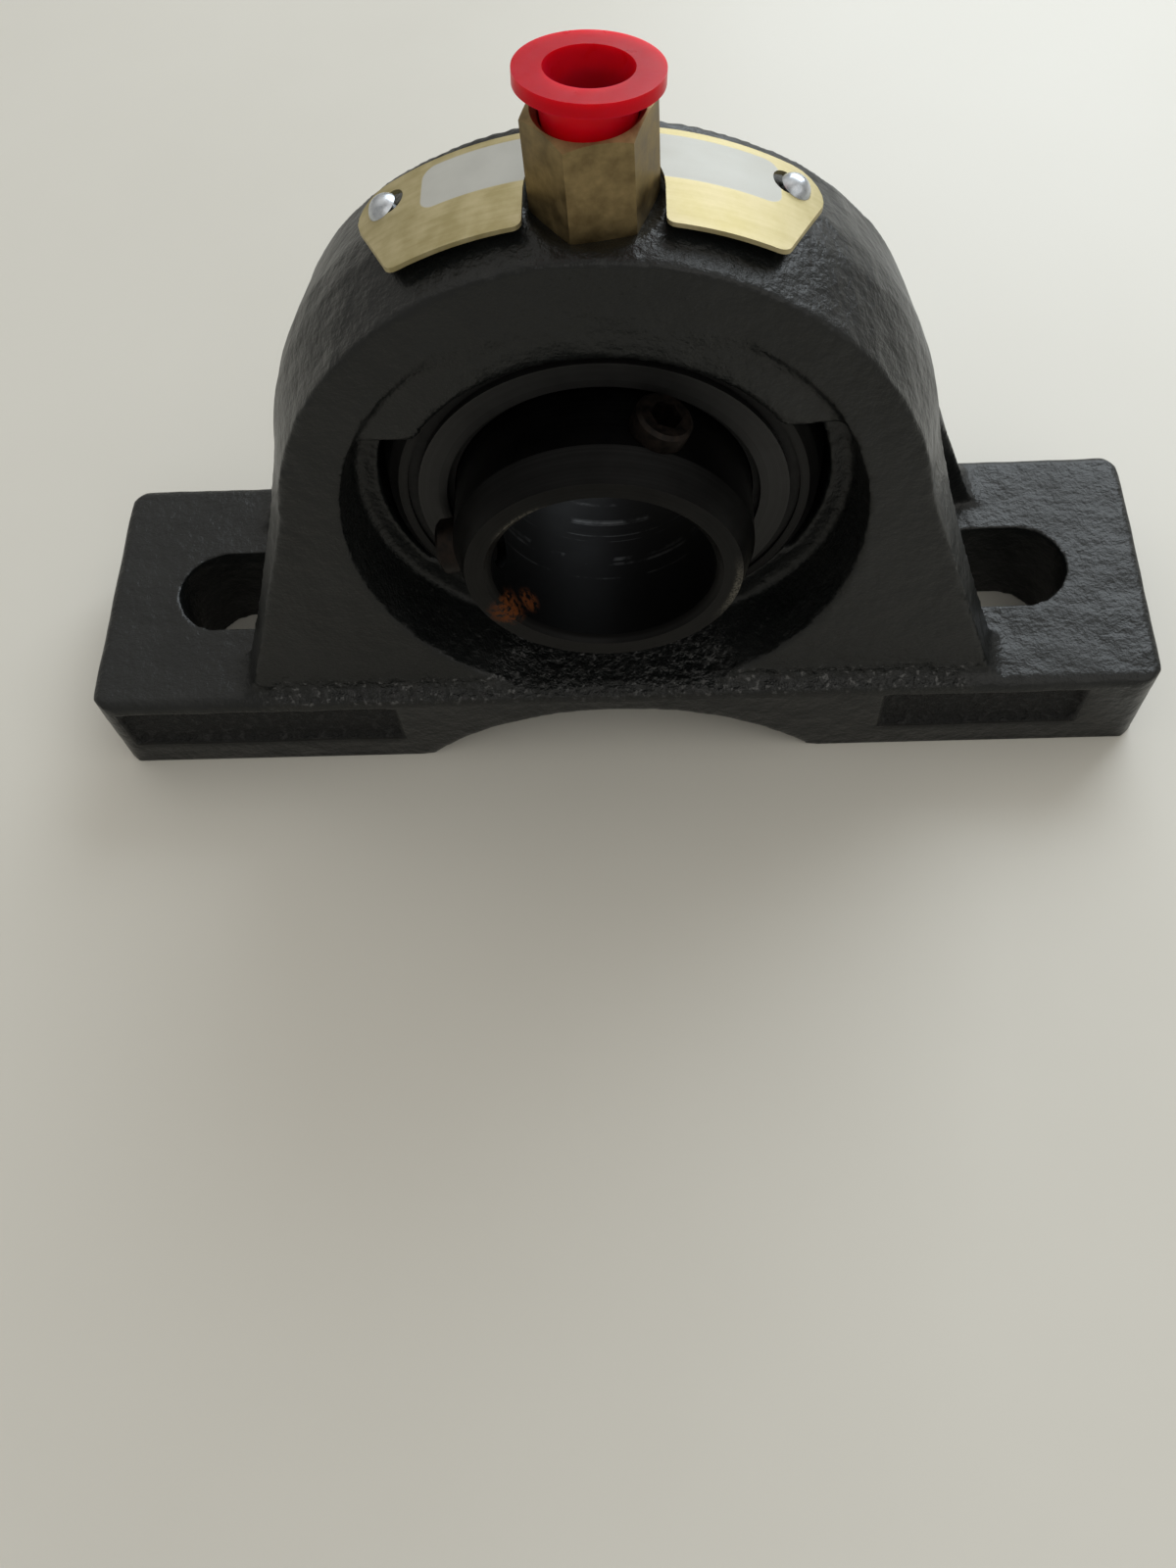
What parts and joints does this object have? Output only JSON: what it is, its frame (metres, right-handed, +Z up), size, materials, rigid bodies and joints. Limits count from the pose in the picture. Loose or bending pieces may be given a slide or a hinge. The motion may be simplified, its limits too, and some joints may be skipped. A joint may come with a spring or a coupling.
{
  "type": "high base pillow block",
  "caption": "Self-aligning ball bearing in a cast pillow block housing with slotted feet, set-screw locking and a capped grease coupling.",
  "frame": {"origin": "on the mounting plane, midway between the two bolt slots", "axes": "+X along the base, -Y out of the set-screw side along the shaft, +Z up from the mounting plane"},
  "size_m": [0.142, 0.0394, 0.0924],
  "materials": {
    "painted_casting": "semi-gloss paint over a cast skin",
    "bearing_steel": "ground, darkened",
    "dark_ring_steel": "dark, satin, lightly worn",
    "cage_brass": "satin",
    "ball_steel": "polished",
    "seal_rubber": "matt",
    "shield_steel": "satin grey",
    "screw_steel": "dark with a trace of rust",
    "pin_steel": "ground",
    "plate_brass": "satin with a pale printed field",
    "zinc": "zinc plated",
    "dull_brass": "dull, darkened",
    "red_plastic": "glossy"
  },
  "bodies": {
    "housing": {"housing": "painted_casting", "name_tag": "plate_brass", "drive_screw_left": "zinc", "drive_screw_right": "zinc", "grease_coupling": "dull_brass"},
    "locking_pin": {"locking_pin": "pin_steel"},
    "outer_ring": {"outer_ring": "bearing_steel", "front_seal": "seal_rubber", "rear_seal": "seal_rubber", "front_shield": "shield_steel", "rear_shield": "shield_steel"},
    "inner_ring": {"inner_ring": "dark_ring_steel"},
    "ball_cage": {"ball_cage": "cage_brass"},
    "ball_1": {"ball_1": "ball_steel"},
    "ball_2": {"ball_2": "ball_steel"},
    "ball_3": {"ball_3": "ball_steel"},
    "ball_4": {"ball_4": "ball_steel"},
    "ball_5": {"ball_5": "ball_steel"},
    "ball_6": {"ball_6": "ball_steel"},
    "ball_7": {"ball_7": "ball_steel"},
    "ball_8": {"ball_8": "ball_steel"},
    "ball_9": {"ball_9": "ball_steel"},
    "set_screw_1": {"set_screw_1": "screw_steel"},
    "set_screw_2": {"set_screw_2": "screw_steel"},
    "closure_plug": {"closure_plug": "red_plastic"}
  },
  "joints": [
    {"name": "insert_swivel", "type": "hinge", "parent": "housing", "child": "locking_pin", "pos_m": [0, 0, 0.0429], "axis": [0, 0, 1], "range_deg": [-2, 2]},
    {"name": "insert_tilt", "type": "hinge", "parent": "locking_pin", "child": "outer_ring", "pos_m": [0, 0, 0.0429], "axis": [1, 0, 0], "range_deg": [-2, 2]},
    {"name": "shaft_spin", "type": "hinge", "parent": "outer_ring", "child": "inner_ring", "pos_m": [0, 0, 0.0429], "axis": [0, 1, 0], "continuous": true},
    {"name": "cage_orbit", "type": "hinge", "parent": "outer_ring", "child": "ball_cage", "pos_m": [0, 0, 0.0429], "axis": [0, 1, 0], "continuous": true},
    {"name": "ball_1_spin", "type": "hinge", "parent": "ball_cage", "child": "ball_1", "pos_m": [0.0192, 0, 0.04629], "axis": [0, 1, 0], "continuous": true},
    {"name": "ball_2_spin", "type": "hinge", "parent": "ball_cage", "child": "ball_2", "pos_m": [0.01253, 0, 0.05784], "axis": [0, 1, 0], "continuous": true},
    {"name": "ball_3_spin", "type": "hinge", "parent": "ball_cage", "child": "ball_3", "pos_m": [0, 0, 0.0624], "axis": [0, 1, 0], "continuous": true},
    {"name": "ball_4_spin", "type": "hinge", "parent": "ball_cage", "child": "ball_4", "pos_m": [-0.01253, 0, 0.05784], "axis": [0, 1, 0], "continuous": true},
    {"name": "ball_5_spin", "type": "hinge", "parent": "ball_cage", "child": "ball_5", "pos_m": [-0.0192, 0, 0.04629], "axis": [0, 1, 0], "continuous": true},
    {"name": "ball_6_spin", "type": "hinge", "parent": "ball_cage", "child": "ball_6", "pos_m": [-0.01689, 0, 0.03315], "axis": [0, 1, 0], "continuous": true},
    {"name": "ball_7_spin", "type": "hinge", "parent": "ball_cage", "child": "ball_7", "pos_m": [-0.00667, 0, 0.02458], "axis": [0, 1, 0], "continuous": true},
    {"name": "ball_8_spin", "type": "hinge", "parent": "ball_cage", "child": "ball_8", "pos_m": [0.00667, 0, 0.02458], "axis": [0, 1, 0], "continuous": true},
    {"name": "ball_9_spin", "type": "hinge", "parent": "ball_cage", "child": "ball_9", "pos_m": [0.01689, 0, 0.03315], "axis": [0, 1, 0], "continuous": true},
    {"name": "set_screw_1_travel", "type": "slide", "parent": "inner_ring", "child": "set_screw_1", "axis": [-0.3827, 0, -0.9239], "range_m": [0, 0.0012]},
    {"name": "set_screw_2_travel", "type": "slide", "parent": "inner_ring", "child": "set_screw_2", "axis": [0.9914, 0, 0.1305], "range_m": [0, 0.0012]},
    {"name": "plug_pull", "type": "slide", "parent": "housing", "child": "closure_plug", "axis": [0.0688, 0.165, 0.9839], "range_m": [0, 0.015]}
  ],
  "couplings": [
    {"joint": "cage_orbit", "follows": "shaft_spin", "ratio": 0.3982},
    {"joint": "ball_1_spin", "follows": "shaft_spin", "ratio": -2.3548},
    {"joint": "ball_2_spin", "follows": "shaft_spin", "ratio": -2.3548},
    {"joint": "ball_3_spin", "follows": "shaft_spin", "ratio": -2.3548},
    {"joint": "ball_4_spin", "follows": "shaft_spin", "ratio": -2.3548},
    {"joint": "ball_5_spin", "follows": "shaft_spin", "ratio": -2.3548},
    {"joint": "ball_6_spin", "follows": "shaft_spin", "ratio": -2.3548},
    {"joint": "ball_7_spin", "follows": "shaft_spin", "ratio": -2.3548},
    {"joint": "ball_8_spin", "follows": "shaft_spin", "ratio": -2.3548},
    {"joint": "ball_9_spin", "follows": "shaft_spin", "ratio": -2.3548}
  ]
}
